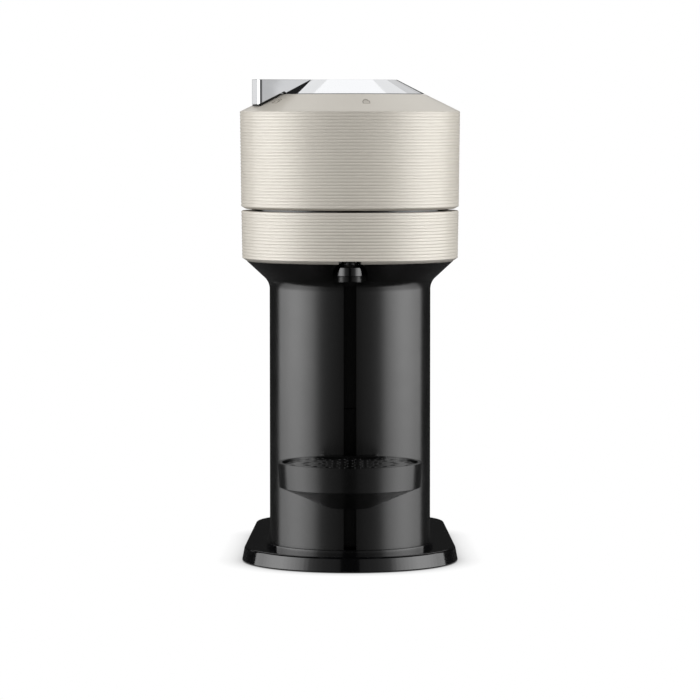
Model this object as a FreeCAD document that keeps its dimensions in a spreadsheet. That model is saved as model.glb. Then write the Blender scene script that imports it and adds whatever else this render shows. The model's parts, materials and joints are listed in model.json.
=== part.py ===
import FreeCAD, Part

import math
import os
import re

import Sketcher

# Pod coffee machine, in millimetres. Every sub-part is drawn about the axis of
# the brewing drum, front towards -Y, and then set back by `setback`, so that the
# origin lies under the middle of the whole machine.
dimensions = {
    # whole machine
    "setback": 74.5, "wall": 2.5, "gap": 0.3, "play": 0.4, "screw_radius": 1.4, "screw_head": 2.8,
    # base
    "foot_height": 1, "foot_radius": 8, "foot_side": 50, "foot_front": -22, "foot_middle": 95,
    "foot_back": 240, "foot_narrow": 32, "plate_top": 3, "plate_inset": 2.8, "base_top": 9.8,
    "base_radius": 70, "base_back": 142, "base_corner": 45, "base_side": 21, "tail_radius": 50,
    "tail_back": 235, "collar_top": 12.5, "collar_radius": 54, "boss_radius": 4, "boss_side": 58,
    "boss_front": 10, "boss_back": 105,
    # column
    "column_radius": 52, "column_back": 114, "flare_low": 176.8, "flare_bend": 184.4,
    "flare_bend_radius": 55.5, "flare_high": 194.6, "flare_radius": 66.6, "slot_half": 4,
    "pocket_radius": 11, "pocket_low": 183, "outlet_front": -58, "panel_deep": 2.5, "vent_half": 30,
    "vent_low": 40, "vent_pitch": 9, "vent_high": 3, "vent_count": 12,
    # cup support rail
    "rail_half": 8.5, "rail_front": -48.6, "rail_back": -37.5, "channel_half": 6, "channel_back": -40,
    "rail_seam": 101.7, "rail_top": 180.8,
    # ring below the drum
    "ring_low": 194.8, "ring_edge": 196.9, "ring_high": 227.5, "ring_radius": 70.2, "ring_low_radius": 69.7,
    "ring_bore": 64, "rib_pitch": 2.06, "rib_depth": 0.5, "rib_groove": 0.8, "ring_rib_low": 197.8,
    "ring_ribs": 14, "ring_notch_half": 7, "ring_notch_high": 2,
    # brewing deck
    "deck_low": 222, "deck_high": 226, "deck_radius": 63.7, "deck_bore": 33, "deck_screw_reach": 58,
    "deck_screw_low": 214, "window_near": 35, "window_far": 45, "window_half": 4, "window_low": 219,
    "hook_inner": 51, "hook_outer": 54, "hook_lip_inner": 47.6, "hook_lip_low": 240, "hook_high": 243,
    "hook_angle": 24,
    # capsule cage and its drive
    "cage_radius": 31, "cage_bore": 28, "cage_low": 201, "cage_floor": 203, "cage_high": 225.8,
    "shaft_radius": 4, "shaft_low": 178, "pulley_low": 180, "pulley_high": 187, "cage_pulley_radius": 24,
    "motor_pulley_radius": 8, "motor_back": 45, "motor_radius": 17, "motor_low": 118, "motor_high": 174.5,
    "motor_shaft": 2.5, "rotor_low": 150, "bracket_high": 177, "belt_deep": 1.4, "belt_low": 181,
    "belt_high": 186, "bearing_low": 189, "bearing_high": 196.5, "bearing_radius": 8,
    # coffee path
    "collector_radius": 46, "collector_low": 196.5, "collector_floor": 198.5, "collector_high": 216,
    "gutter_half": 8, "gutter_front": -62, "gutter_high": 206, "outlet_bore": 3.2, "outlet_radius": 8.4,
    "outlet_low": 189.3, "outlet_neck": 5, "outlet_edge": 2,
    # water path
    "pump_side": -24, "pump_back": 84, "pump_radius": 16, "pump_low": 34, "pump_high": 94, "pump_port": 3,
    "pump_port_reach": 10, "mount_radius": 21, "mount_low": 44, "mount_upper": 76, "mount_high": 6,
    "heater_near": 12, "heater_far": 44, "heater_front": 50, "heater_back": 88, "heater_low": 40,
    "heater_high": 104, "heater_port": 3, "heater_port_high": 112, "thermostat_radius": 6,
    "thermostat_high": 108, "meter_radius": 9, "meter_low": 16, "meter_high": 24, "hose_radius": 2,
    "hose_floor": 5.1, "hose_start": 210, "hose_turn": 130, "hose_crown": 124, "hose_side": 36,
    "hose_back": 100, "hose_low": 60,
    # control board and mains inlet
    "board_half": 34, "board_front": 2, "board_deep": 1.6, "board_low": 20, "board_high": 96,
    "chip_deep": 10, "supply_left": -31.5, "supply_right": -11.5, "supply_low": 22.5, "supply_high": 40,
    "relay_left": 5, "relay_right": 25, "relay_low": 25, "relay_high": 35, "chip_left": -10,
    "chip_right": 7.5, "chip_low": 76, "chip_high": 88.5, "gland_radius": 5, "gland_bore": 3.5,
    "gland_back": 215, "gland_high": 9.2, "gland_out": 54.5, "gland_in": 44,
    # rear deck, hinge and capsule chute
    "rear_deck_low": 192, "rear_deck_front": 70.8, "hinge_back": 79, "hinge_high": 222, "hinge_radius": 8,
    "pin_radius": 3, "pin_play": 0.05, "ear_inner": 33, "arm_inner": 38, "arm_outer": 46, "ear_outer": 51,
    "chute_half": 31, "chute_front": 72, "chute_high": 226, "chute_back": 116.8, "chute_low": 208,
    "chute_deep": 2,
    # head
    "head_low": 228.1, "head_edge": 230.5, "head_low_radius": 67.6, "head_edge_radius": 70.3,
    "head_radius": 71, "head_high": 291.3, "head_round": 0.8, "crown_high": 302, "crown_radius": 48.7,
    "head_skin": 3.2, "head_rib_low": 231.4, "head_ribs": 29, "liner_low": 228.6, "liner_high": 231,
    "liner_radius": 64.8, "bell_bore": 28, "bell_radius": 30.5, "bell_high": 262, "bell_top": 264.5,
    "bell_rim": 40, "slot_inner": 43.5, "slot_outer": 58, "slot_angle": 40, "core_radius": 36.5,
    "core_bore": 34, "core_low": 296.5, "core_high": 299, "core_rim": 43.4, "pierce_low": 260.4,
    "pierce_radius": 27.6, "needle_radius": 1.6, "needle_low": 248, "needle_tip": 243, "needle_point": 0.2,
    "needle_high": 272, "needle_boss": 5, "seal_low": 226.3, "seal_radius": 31, "arm_front": 48,
    "arm_high": 246, "led_board_radius": 20, "led_board_low": 290, "led_board_high": 291.6, "standoff": 2,
    "standoff_side": 14, "glow_radius": 21.8, "glow_bore": 17.5, "glow_low": 299, "glow_high": 311.2,
    # lever, lock ring and button
    "top": 311.4, "lever_bore": 22.2, "lever_flat": 30.4, "lever_foot_radius": 48.2, "lever_foot": 302.3,
    "lever_deep": 2.2, "lever_half": 7, "lever_reach": 65.6, "lever_tip": 295.4, "lever_root": 303.7,
    "barrel_radius": 46.4, "barrel_bore": 44, "barrel_low": 236, "lug_high": 239, "lug_radius": 50,
    "lug_angle": 24, "guard_near": 50.2, "guard_far": 65, "guard_near_low": 301.7, "guard_far_low": 294.35,
    "guard_deep": 0.95, "guard_half": 6.2, "button_radius": 17.1, "button_low": 307.2, "button_high": 311.2,
    "stem_radius": 4, "stem_low": 294.5,
    # cup support
    "dish_front": -95, "dish_radius": 45, "dish_foot_radius": 44, "dish_high": 73, "dish_low": 57.7,
    "dish_back": -55.3, "bowl_radius": 42.4, "bowl_floor": 60.5, "ledge_radius": 40.4, "ledge_high": 70,
    "arm_foot_radius": 14, "arm_foot_front": -71, "arm_foot_low": 42.2, "grid_radius": 42,
    "grid_high": 71.8, "grid_hole": 2.4, "grid_pitch": 9.4, "grid_rings": 5, "neck_half": 3.4,
    "shoe_half": 5.4, "shoe_front": -46.2, "shoe_back": -40.6, "shoe_low": 45, "shoe_high": 66,
    # capsule container
    "bin_half": 51, "bin_front": 117.5, "bin_back": 187, "bin_low": 10.1, "bin_high": 206, "bin_wall": 2,
    # water tank
    "dock_top": 16, "dock_front": 172, "socket_radius": 7, "socket_back": 215, "seal_outer": 9.5,
    "seal_sunk": 1.2, "tank_half": 54, "tank_front": 190, "tank_back": 235, "tank_low": 16.3,
    "tank_high": 270, "tank_wall": 2.2, "tank_hole": 4, "valve_radius": 8, "valve_stem": 2.4,
    "valve_high": 2.4, "lid_low": 270.2, "lid_high": 278.2, "lid_hinge_back": 285, "lid_deep": 2.4,
    "lid_skirt": 2.6,
}

doc = FreeCAD.newDocument("pod_machine")
sheet = doc.addObject("Spreadsheet::Sheet", "sizes")
for row, (name, value) in enumerate(dimensions.items(), start=1):
    sheet.set(f"A{row}", name)
    sheet.set(f"B{row}", str(value))
    sheet.setAlias(f"B{row}", name)
doc.recompute()

subparts = []
zero = "0"
up = FreeCAD.Vector(0, 0, 1)
along = FreeCAD.Vector(0, 1, 0)


def formula(text):
    """Turn a sum of dimension names into an expression on the sheet."""
    return re.sub(r"[a-z_]+", lambda word: "sizes." + word[0], text)


def number(text):
    return float(sheet.evalExpression(formula(text)))


def bind(thing, **sizes):
    for key, text in sizes.items():
        thing.setExpression(key, formula(text))


def at(thing, x, y, z):
    for axis, text in zip("xyz", (x, y, z)):
        thing.setExpression(".Placement.Base." + axis, formula(text))
    return thing


def block(x, y, z):
    """A box between the low and the high value on each axis."""
    box = doc.addObject("Part::Box", "block")
    spans = [f"({high}) - ({low})" for low, high in (x, y, z)]
    bind(box, Length=spans[0], Width=spans[1], Height=spans[2])
    return at(box, x[0], y[0], z[0])


def rod(radius, z, x=zero, y=zero):
    """An upright cylinder."""
    shape = doc.addObject("Part::Cylinder", "rod")
    bind(shape, Radius=radius, Height=f"({z[1]}) - ({z[0]})")
    return at(shape, x, y, z[0])


def axle(radius, x, y, z):
    """A cylinder that lies along X."""
    shape = doc.addObject("Part::Cylinder", "axle")
    bind(shape, Radius=radius, Height=f"({x[1]}) - ({x[0]})")
    shape.Placement.Rotation = FreeCAD.Rotation(along, 90)
    return at(shape, x[0], y, z)


def cone(low_radius, high_radius, z, x=zero, y=zero):
    shape = doc.addObject("Part::Cone", "cone")
    bind(shape, Radius1=low_radius, Radius2=high_radius, Height=f"({z[1]}) - ({z[0]})")
    return at(shape, x, y, z[0])


def sector(radius, angle, z, middle):
    """A slice of a cylinder on the drum axis, whose middle points at `middle` degrees."""
    shape = doc.addObject("Part::Cylinder", "sector")
    bind(shape, Radius=radius, Angle=angle, Height=f"({z[1]}) - ({z[0]})")
    shape.Placement.Rotation = FreeCAD.Rotation(up, middle - number(angle) / 2)
    return at(shape, zero, zero, z[0])


def join(*things):
    shape = doc.addObject("Part::MultiFuse", "join")
    shape.Shapes = list(things)
    return shape


def cut(base, *tools):
    shape = doc.addObject("Part::Cut", "cut")
    shape.Base = base
    shape.Tool = tools[0] if len(tools) == 1 else join(*tools)
    return shape


def both(first, second):
    shape = doc.addObject("Part::Common", "both")
    shape.Base = first
    shape.Tool = second
    return shape


def tube(radius, bore, z, x=zero, y=zero):
    return cut(rod(radius, z, x, y), rod(bore, z, x, y))


def hull(circles, z):
    """Upright rounds of (radius, x, y), listed anticlockwise, joined by straight sides."""
    corners = []
    for here, there in zip(circles, circles[1:] + circles[:1]):
        radius, x, y = (number(text) for text in here)
        far_radius, far_x, far_y = (number(text) for text in there)
        start = FreeCAD.Vector(x, y, number(z[0]))
        end = FreeCAD.Vector(far_x, far_y, number(z[0]))
        run = end - start
        lean = math.asin((radius - far_radius) / run.Length)
        run.normalize()
        side = FreeCAD.Vector(run.y, -run.x, 0) * math.cos(lean) + run * math.sin(lean)
        corners += [start + side * radius, end + side * far_radius]
    middle = doc.addObject("Part::Feature", "middle")
    face = Part.Face(Part.makePolygon(corners + corners[:1]))
    middle.Shape = face.extrude(up * number(f"({z[1]}) - ({z[0]})"))
    return join(middle, *(rod(radius, z, x, y) for radius, x, y in circles))


def arch(radius, back, z, front=zero):
    """A half round at the rear of straight sides that start at `front`."""
    straight = block((f"-({radius})", radius), (front, back), z)
    rear = rod(radius, z, y=back)
    rear.Angle = 180
    return join(straight, rear)


def plane_of(body, role):
    return next(plane for plane in body.Origin.OriginFeatures if plane.Role == role)


def outline(body, role, corners):
    """A closed sketch through the corners, each coordinate bound to the sheet."""
    sketch = body.newObject("Sketcher::SketchObject", "outline")
    sketch.AttachmentSupport = (plane_of(body, role), [""])
    sketch.MapMode = "FlatFace"
    points = [FreeCAD.Vector(number(a), number(b), 0) for a, b in corners]
    for here, there in zip(points, points[1:] + points[:1]):
        sketch.addGeometry(Part.LineSegment(here, there))
    for i in range(len(points)):
        sketch.addConstraint(Sketcher.Constraint("Coincident", i, 2, (i + 1) % len(points), 1))
    for i, corner in enumerate(corners):
        for kind, text in zip(("DistanceX", "DistanceY"), corner):
            constraint = Sketcher.Constraint(kind, -1, 1, i, 1, number(text))
            index = sketch.addConstraint(constraint)
            sketch.setExpression(f"Constraints[{index}]", formula(text))
    return sketch


def turn(body, kind, corners):
    """Revolve an outline of (radius, height) corners about the upright axis."""
    sketch = outline(body, "XZ_Plane", corners)
    feature = body.newObject("PartDesign::" + kind, kind.lower())
    feature.Profile = sketch
    feature.ReferenceAxis = (sketch, ["V_Axis"])
    feature.Angle = 360
    return feature


def subpart(thing, node, turned=0):
    """Name a finished sub-part and set it back from the drum axis."""
    thing.Label = node
    if turned:
        thing.Placement.Rotation = FreeCAD.Rotation(up, turned)
    own_place = dict(thing.ExpressionEngine).get(".Placement.Base.y", zero)
    thing.setExpression(".Placement.Base.y", f"{own_place} - sizes.setback")
    subparts.append(thing)
    return thing


# ---- base ----

def foot_places():
    front = [("foot_side", "foot_front"), ("foot_side", "foot_middle"), ("foot_narrow", "foot_back")]
    return [(sign + side, back) for side, back in front for sign in ("", "-")]


def boss_places():
    return [(sign + "boss_side", back) for back in ("boss_front", "boss_back") for sign in ("", "-")]


def base_solid(inset, z):
    """The base's outline, round in front and narrower behind, moved inwards by `inset`."""
    corner = f"base_corner - ({inset})"
    return hull([(f"base_radius - ({inset})", zero, zero), (corner, "base_side", "base_back"),
                 (corner, "-base_side", "base_back")], z)


def hose_way():
    """The passage for the suction hose, through the base's rear wall and the dock's front."""
    return block(("-hose_radius - gap", "hose_radius + gap"), ("base_back", "tank_front + wall"),
                 ("plate_top", "base_top - wall"))


def make_base():
    feet = [rod("foot_radius", (zero, "foot_height"), x, y) for x, y in foot_places()]
    subpart(join(*feet), "rubber_feet")

    flat = ("foot_height", "plate_top")
    tail = arch("tail_radius - plate_inset", "tail_back", flat, front="base_back")
    plate = join(base_solid("plate_inset", flat), tail)
    holes = [rod("screw_radius + gap", flat, x, y) for x, y in boss_places()]
    subpart(cut(plate, *holes), "base_plate")

    body = base_solid(zero, ("foot_height", "base_top"))
    collar = arch("collar_radius", "column_back", ("base_top", "collar_top"))
    front = rod("collar_radius", ("base_top", "collar_top"))
    hollow = base_solid("wall", ("foot_height", "base_top - wall"))
    well = join(
        rod("column_radius - wall", ("base_top - wall", "collar_top")),
        block(("-column_radius + wall", "column_radius - wall"), (zero, "column_back - wall"),
              ("base_top - wall", "collar_top")),
    )
    trim = block(("-base_radius", "base_radius"), ("column_back", "base_back + column_back"),
                 ("base_top", "collar_top"))
    rear = ("base_back", "base_back + base_corner")
    tail_way = block(("-tail_radius", "tail_radius"), rear, flat)
    shell = cut(join(body, cut(join(collar, front), trim)), hollow, well, hose_way(), tail_way)
    bosses = [rod("boss_radius", ("plate_top", "base_top - wall"), x, y) for x, y in boss_places()]
    bores = [rod("screw_radius + gap", ("plate_top", "base_top - wall"), x, y) for x, y in boss_places()]
    subpart(cut(join(shell, *bosses), *bores), "base_cover")

    screws = []
    for x, y in boss_places():
        head = rod("screw_head", ("foot_height - gap", "foot_height"), x, y)
        screws += [head, rod("screw_radius", ("foot_height", "base_top - wall"), x, y)]
    subpart(join(*screws), "base_screws")


def make_dock():
    outer = arch("tail_radius", "tail_back", ("plate_top", "dock_top"), front="dock_front")
    inner = arch("tail_radius - wall", "tail_back", ("plate_top", "dock_top - wall"), front="tank_front")
    clear = base_solid("-gap", ("plate_top", "dock_top"))
    bin_room = block(("-tail_radius", "tail_radius"), ("dock_front", "tank_front"), ("base_top", "dock_top"))
    socket = rod("socket_radius", ("dock_top - wall", "dock_top"), y="socket_back")
    gland = axle("gland_radius + gap / 2", ("-gland_out", "-gland_in"), "gland_back", "gland_high")
    seal = ("dock_top - seal_sunk", "dock_top")
    recess = rod("seal_outer", seal, y="socket_back")
    subpart(cut(outer, inner, clear, bin_room, socket, gland, recess, hose_way()), "tank_dock")
    subpart(tube("seal_outer", "socket_radius", seal, y="socket_back"), "dock_seal")
    lead = ("-gland_out", "-gland_in")
    sleeve = axle("gland_radius", lead, "gland_back", "gland_high")
    bore = axle("gland_bore", lead, "gland_back", "gland_high")
    subpart(cut(sleeve, bore), "cord_gland")


# ---- column ----

def column_solid(inset, low):
    """The column's outline, moved inwards by `inset`, from `low` to the rear deck."""
    tall = (low, "rear_deck_low")
    half = f"(column_radius - ({inset}))"
    return join(rod(half, tall), block((f"-{half}", half), (zero, f"column_back - ({inset})"), tall))


def flare_solid(inset):
    edge = ("flare_bend", "flare_high")
    neck = ("flare_low", "flare_bend")
    return join(
        cone(f"column_radius - ({inset})", f"flare_bend_radius - ({inset})", neck),
        cone(f"flare_bend_radius - ({inset})", f"flare_radius - ({inset})", edge),
    )


def make_column():
    pocket = ("pocket_low", "flare_high")
    hood = both(
        rod("pocket_radius + wall", ("pocket_low - wall", "flare_high"), y="outlet_front"),
        join(flare_solid(zero), rod("column_radius", ("pocket_low - wall", "flare_bend"))),
    )
    hollow = join(
        column_solid("wall", "collar_top"),
        block(("-column_radius + wall", "column_radius - wall"),
              ("column_back - wall", "column_back"), ("collar_top", "rear_deck_low")),
        flare_solid("wall"),
    )
    shell = cut(join(column_solid(zero, "collar_top"), flare_solid(zero)), hollow)
    slot = block(("-slot_half", "slot_half"), ("-column_radius - wall", "rail_front"),
                 ("collar_top", "pocket_low"))
    subpart(cut(join(shell, hood), rod("pocket_radius", pocket, y="outlet_front"), slot), "column_shell")


def rail(low, high):
    solid = block(("-rail_half", "rail_half"), ("rail_front", "rail_back"), (low, high))
    channel = block(("-channel_half", "channel_half"), ("rail_front", "channel_back"), (low, high))
    return cut(solid, channel)


def make_rails():
    subpart(rail("collar_top + gap", "rail_seam"), "slot_rail")
    subpart(rail("rail_seam + gap", "rail_top - gap"), "slot_rail_upper")


def make_rear_panel():
    panel = block(("-column_radius + wall + gap", "column_radius - wall - gap"),
                  ("column_back - panel_deep", "column_back"), ("collar_top + gap", "rear_deck_low - gap"))
    vents = []
    for i in range(int(number("vent_count"))):
        low = f"vent_low + {i} * vent_pitch"
        vents.append(block(("-vent_half", "vent_half"), ("column_back - panel_deep", "column_back"),
                           (low, low + " + vent_high")))
    subpart(cut(panel, *vents), "rear_panel")


def make_outlet():
    body = rod("outlet_radius", ("outlet_low", "flare_high - outlet_edge"), y="outlet_front")
    edge = cone("outlet_radius", "outlet_radius - outlet_edge", ("flare_high - outlet_edge", "flare_high"),
                y="outlet_front")
    neck = rod("outlet_neck", ("flare_high", "collector_low"), y="outlet_front")
    bore = rod("outlet_bore", ("outlet_low", "collector_low"), y="outlet_front")
    subpart(cut(join(body, edge, neck), bore), "coffee_outlet")


def make_lower_ring():
    body = doc.addObject("PartDesign::Body", "ring")
    turn(body, "Revolution", [
        ("ring_bore", "ring_low"), ("flare_radius", "ring_low"), ("ring_low_radius", "ring_edge"),
        ("ring_radius", "ring_high - head_round"), ("ring_radius - head_round", "ring_high"),
        ("ring_bore", "ring_high"),
    ])
    groove_rows(body, "ring_low_radius", "ring_rib_low", "ring_ribs")
    notch = block(("-ring_notch_half", "ring_notch_half"), ("-ring_radius", "-ring_bore + wall"),
                  ("ring_low", "ring_low + ring_notch_high"))
    subpart(cut(body, notch), "lower_ring")


def groove_rows(body, radius, low, count):
    """Cut one groove round a drum and repeat it upwards at the rib pitch."""
    doc.recompute()
    whole = body.Shape.Volume
    groove = turn(body, "Groove", [
        (f"{radius} - rib_depth", low), (f"{radius} + wall", low),
        (f"{radius} + wall", f"{low} + rib_groove"), (f"{radius} - rib_depth", f"{low} + rib_groove"),
    ])
    doc.recompute()
    assert body.Shape.Volume < whole, "the groove cuts nothing"
    rows = body.newObject("PartDesign::LinearPattern", "rows")
    rows.Originals = [groove]
    rows.Direction = (groove.Profile[0], ["V_Axis"])
    bind(rows, Occurrences=count, Length=f"rib_pitch * ({count} - 1)")
    body.Tip = rows


# ---- brewing deck and capsule drive ----

hook_middles = (-90, 10, 170)
deck_screw_angles = (35, 145, 215, 325)


def make_deck():
    flat = ("deck_low", "deck_high")
    window = block(("window_near - gap", "window_far + gap"),
                   ("-window_half - gap", "window_half + gap"), flat)
    screws, holes = [], []
    for angle in deck_screw_angles:
        turned = math.radians(angle)
        x = f"deck_screw_reach * {math.cos(turned):.4f}"
        y = f"deck_screw_reach * {math.sin(turned):.4f}"
        holes.append(rod("screw_radius + gap", flat, x, y))
        screws.append(rod("screw_head", ("deck_high", "deck_high + screw_radius"), x, y))
        screws.append(rod("screw_radius", ("deck_screw_low", "deck_high"), x, y))
    subpart(cut(rod("deck_radius", flat), rod("deck_bore", flat), window, *holes), "brew_deck")
    subpart(join(*screws), "deck_screws")
    glass = block(("window_near", "window_far"), ("-window_half", "window_half"), ("window_low", "deck_high"))
    subpart(glass, "code_reader")

    hooks = []
    for middle in hook_middles:
        post = cut(sector("hook_outer", "hook_angle", ("deck_high", "hook_high"), middle),
                   rod("hook_inner", ("deck_high", "hook_high")))
        lip = cut(sector("hook_outer", "hook_angle", ("hook_lip_low", "hook_high"), middle),
                  rod("hook_lip_inner", ("hook_lip_low", "hook_high")))
        hooks.append(join(post, lip))
    subpart(join(*hooks), "latch_hooks")


def make_cage():
    body = doc.addObject("PartDesign::Body", "capsule_cage")
    turn(body, "Revolution", [
        (zero, "shaft_low"), ("shaft_radius", "shaft_low"), ("shaft_radius", "cage_low"),
        ("cage_bore", "cage_low"), ("cage_radius", "cage_floor + cage_floor - cage_low"),
        ("cage_radius", "cage_high"), ("cage_bore", "cage_high"), ("cage_bore", "cage_floor + wall"),
        ("cage_bore - wall", "cage_floor"), (zero, "cage_floor"),
    ])
    subpart(body, "capsule_cage")
    shaft_room = rod("shaft_radius", ("pulley_low", "pulley_high"))
    subpart(cut(pulley("cage_pulley_radius", zero), shaft_room), "cage_pulley")
    rotor = rod("motor_shaft - pin_play", ("rotor_low", "pulley_low"), y="motor_back")
    subpart(join(pulley("motor_pulley_radius", "motor_back"), rotor), "motor_pulley")


def pulley(radius, back):
    wheel = rod(radius, ("pulley_low", "pulley_high"), y=back)
    groove = tube(f"{radius} + gap", f"{radius} - belt_deep", ("belt_low - gap", "belt_high + gap"), y=back)
    return cut(wheel, groove)


def make_drive():
    bearing = ("bearing_low", "bearing_high")
    subpart(tube("bearing_radius", "shaft_radius + pin_play", bearing), "cage_bearing")

    can = rod("motor_radius", ("motor_low", "motor_high"), y="motor_back")
    bore = rod("motor_shaft", ("rotor_low", "motor_high"), y="motor_back")
    subpart(cut(can, bore), "centrifuge_motor")
    plate = block(("-column_radius + wall + gap", "column_radius - wall - gap"),
                  ("motor_back - motor_radius", "motor_back + motor_radius"), ("motor_high", "bracket_high"))
    room = rod("motor_shaft + play", ("motor_high", "bracket_high"), y="motor_back")
    subpart(cut(plate, room), "motor_bracket")

    flat = ("belt_low", "belt_high")
    subpart(cut(belt_loop(zero, flat), belt_loop("gap + gap", flat)), "drive_belt")


def belt_loop(inset, z):
    """The solid inside a belt that runs round both pulleys, moved inwards by `inset`."""
    return hull([(f"cage_pulley_radius + gap - ({inset})", zero, zero),
                 (f"motor_pulley_radius + gap - ({inset})", zero, "motor_back")], z)


# ---- coffee path ----

def make_collector():
    outside = rod("collector_radius", ("collector_low", "collector_high"))
    inside = rod("collector_radius - wall", ("collector_floor", "collector_high"))
    gutter = block(("-gutter_half", "gutter_half"), ("gutter_front", "-collector_radius + wall + wall"),
                   ("collector_low", "gutter_high"))
    trough = block(("-gutter_half + wall", "gutter_half - wall"),
                   ("gutter_front + wall", "-collector_radius + wall"), ("collector_floor", "gutter_high"))
    drop = rod("outlet_bore", ("collector_low", "collector_floor"), y="outlet_front")
    shaft = rod("shaft_radius + play", ("collector_low", "collector_floor"))
    subpart(cut(join(outside, gutter), inside, trough, drop, shaft), "coffee_collector")


# ---- water path ----

def hose(route, bend):
    """A tube along straight runs joined by arcs of radius `bend`."""
    points = [FreeCAD.Vector(*(number(text) for text in point)) for point in route]
    edges, start = [], points[0]
    for before, corner, after in zip(points, points[1:], points[2:]):
        back = (before - corner).normalize()
        ahead = (after - corner).normalize()
        half = back.getAngle(ahead) / 2
        reach = bend / math.tan(half)
        first, last = corner + back * reach, corner + ahead * reach
        inner = corner + (back + ahead).normalize() * (bend / math.sin(half) - bend)
        edges += [Part.LineSegment(start, first).toShape(), Part.Arc(first, inner, last).toShape()]
        start = last
    edges.append(Part.LineSegment(start, points[-1]).toShape())
    path = Part.Wire(edges)
    ring = Part.makeCircle(number("hose_radius"), points[0], points[1] - points[0])
    tube_shape = path.makePipeShell([Part.Wire(ring)], True, True)
    expected = math.pi * number("hose_radius") ** 2 * path.Length
    assert abs(tube_shape.Volume / expected - 1) < 0.02, "a hose has the wrong volume"
    thing = doc.addObject("Part::Feature", "hose")
    thing.Shape = tube_shape
    return thing


def make_pump():
    body = rod("pump_radius", ("pump_low", "pump_high"), "pump_side", "pump_back")
    port = rod("pump_port", ("pump_high", "pump_high + pump_port_reach"), "pump_side", "pump_back")
    subpart(join(body, port), "water_pump")
    rings = [tube("mount_radius", "pump_radius", (low, low + " + mount_high"), "pump_side", "pump_back")
             for low in ("mount_low", "mount_upper")]
    subpart(join(*rings), "pump_mounts")
    meter = rod("meter_radius", ("meter_low", "meter_high"), "pump_side", "pump_back")
    port = rod("pump_port", ("meter_high", "pump_low"), "pump_side", "pump_back")
    subpart(join(meter, port), "flow_meter")


def make_heater():
    middle = ("(heater_near + heater_far) / 2", "(heater_front + heater_back) / 2")
    slab = block(("heater_near", "heater_far"), ("heater_front", "heater_back"),
                 ("heater_low", "heater_high"))
    port = rod("heater_port", ("heater_high", "heater_port_high"), *middle)
    subpart(join(slab, port), "heater_block")
    pair = []
    for shift in ("-", "+"):
        back = f"{middle[1]} {shift} thermostat_radius * 2"
        pair.append(rod("thermostat_radius", ("heater_high", "thermostat_high"), middle[0], back))
    subpart(join(*pair), "thermostats")


def make_hoses():
    bend = 3 * number("hose_radius")
    subpart(hose([
        (zero, "hose_start", "hose_floor"), (zero, "hose_turn", "hose_floor"),
        ("pump_side", "pump_back", "hose_floor"), ("pump_side", "pump_back", "meter_low"),
    ], bend), "suction_hose")
    middle = ("(heater_near + heater_far) / 2", "(heater_front + heater_back) / 2")
    subpart(hose([
        ("pump_side", "pump_back", "pump_high + pump_port_reach"), ("pump_side", "pump_back", "hose_crown"),
        (*middle, "hose_crown"), (*middle, "heater_port_high"),
    ], bend), "pressure_hose")
    subpart(hose([
        ("hose_side", "heater_back", "hose_low"), ("hose_side", "hose_back", "hose_low"),
        ("hose_side", "hose_back", "rear_deck_low"),
    ], bend), "brew_hose")


def make_board():
    card = block(("-board_half", "board_half"), ("board_front", "board_front + board_deep"),
                 ("board_low", "board_high"))
    front = ("board_front - chip_deep", "board_front")
    parts = [block((part + "_left", part + "_right"), front, (part + "_low", part + "_high"))
             for part in ("supply", "relay", "chip")]
    subpart(join(card, *parts), "control_board")


# ---- rear deck, hinge and capsule chute ----

def make_rear_deck():
    sides = ("-column_radius", "column_radius")
    subpart(block(sides, ("rear_deck_front", "column_back"), ("rear_deck_low", "ring_low")), "rear_deck")

    ears, bores, pins = [], [], []
    foot = ("hinge_back - hinge_radius", "hinge_back + hinge_radius")
    for sign in ("", "-"):
        for near, far in (("ear_inner", "arm_inner - gap"), ("arm_outer + gap", "ear_outer")):
            low, high = (near, far) if sign == "" else (f"-({far})", f"-({near})")
            ears.append(block((low, high), foot, ("ring_low", "hinge_high")))
            ears.append(axle("hinge_radius", (low, high), "hinge_back", "hinge_high"))
        span = ("ear_inner", "ear_outer") if sign == "" else ("-ear_outer", "-ear_inner")
        bores.append(axle("pin_radius + pin_play", span, "hinge_back", "hinge_high"))
        pins.append(axle("pin_radius", span, "hinge_back", "hinge_high"))
    subpart(cut(join(*ears), *bores), "hinge_bracket")
    subpart(join(*pins), "hinge_pins")

    body = doc.addObject("PartDesign::Body", "chute")
    slope = outline(body, "YZ_Plane", [
        ("chute_front", "chute_high"), ("chute_back", "chute_low"),
        ("chute_back", "chute_low - chute_deep"), ("chute_front", "chute_high - chute_deep"),
    ])
    pad_both_ways(body, slope, "chute_half")
    leg = ("column_back - wall * 3", "column_back - wall * 2")
    legs = [block(("-chute_half", "-chute_half + wall"), leg, ("ring_low", "chute_low")),
            block(("chute_half - wall", "chute_half"), leg, ("ring_low", "chute_low"))]
    subpart(join(body, *legs), "capsule_chute")


def pad_both_ways(body, sketch, half):
    pad = body.newObject("PartDesign::Pad", "pad")
    pad.Profile = sketch
    pad.SideType = "Symmetric"
    pad.setExpression("Length", formula(f"({half}) * 2"))
    return pad


# ---- head ----

def arm_spans():
    return [("arm_inner", "arm_outer"), ("-arm_outer", "-arm_inner")]


def make_head_shell():
    body = doc.addObject("PartDesign::Body", "drum")
    turn(body, "Revolution", [
        ("head_low_radius - wall", "head_low"), ("head_low_radius", "head_low"),
        ("head_edge_radius", "head_edge"), ("head_radius", "head_high - head_round"),
        ("head_radius - head_round", "head_high"), ("crown_radius", "crown_high"),
        ("crown_radius", "crown_high - wall"), ("head_radius - head_skin", "head_high - wall"),
        ("head_edge_radius - head_skin", "head_edge"),
    ])
    groove_rows(body, "head_edge_radius", "head_rib_low", "head_ribs")
    gaps = [block((f"{low} - gap", f"{high} + gap"), ("arm_front", "head_radius"),
                  ("head_low", "arm_high + gap")) for low, high in arm_spans()]
    subpart(cut(body, *gaps), "head_shell")


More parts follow.
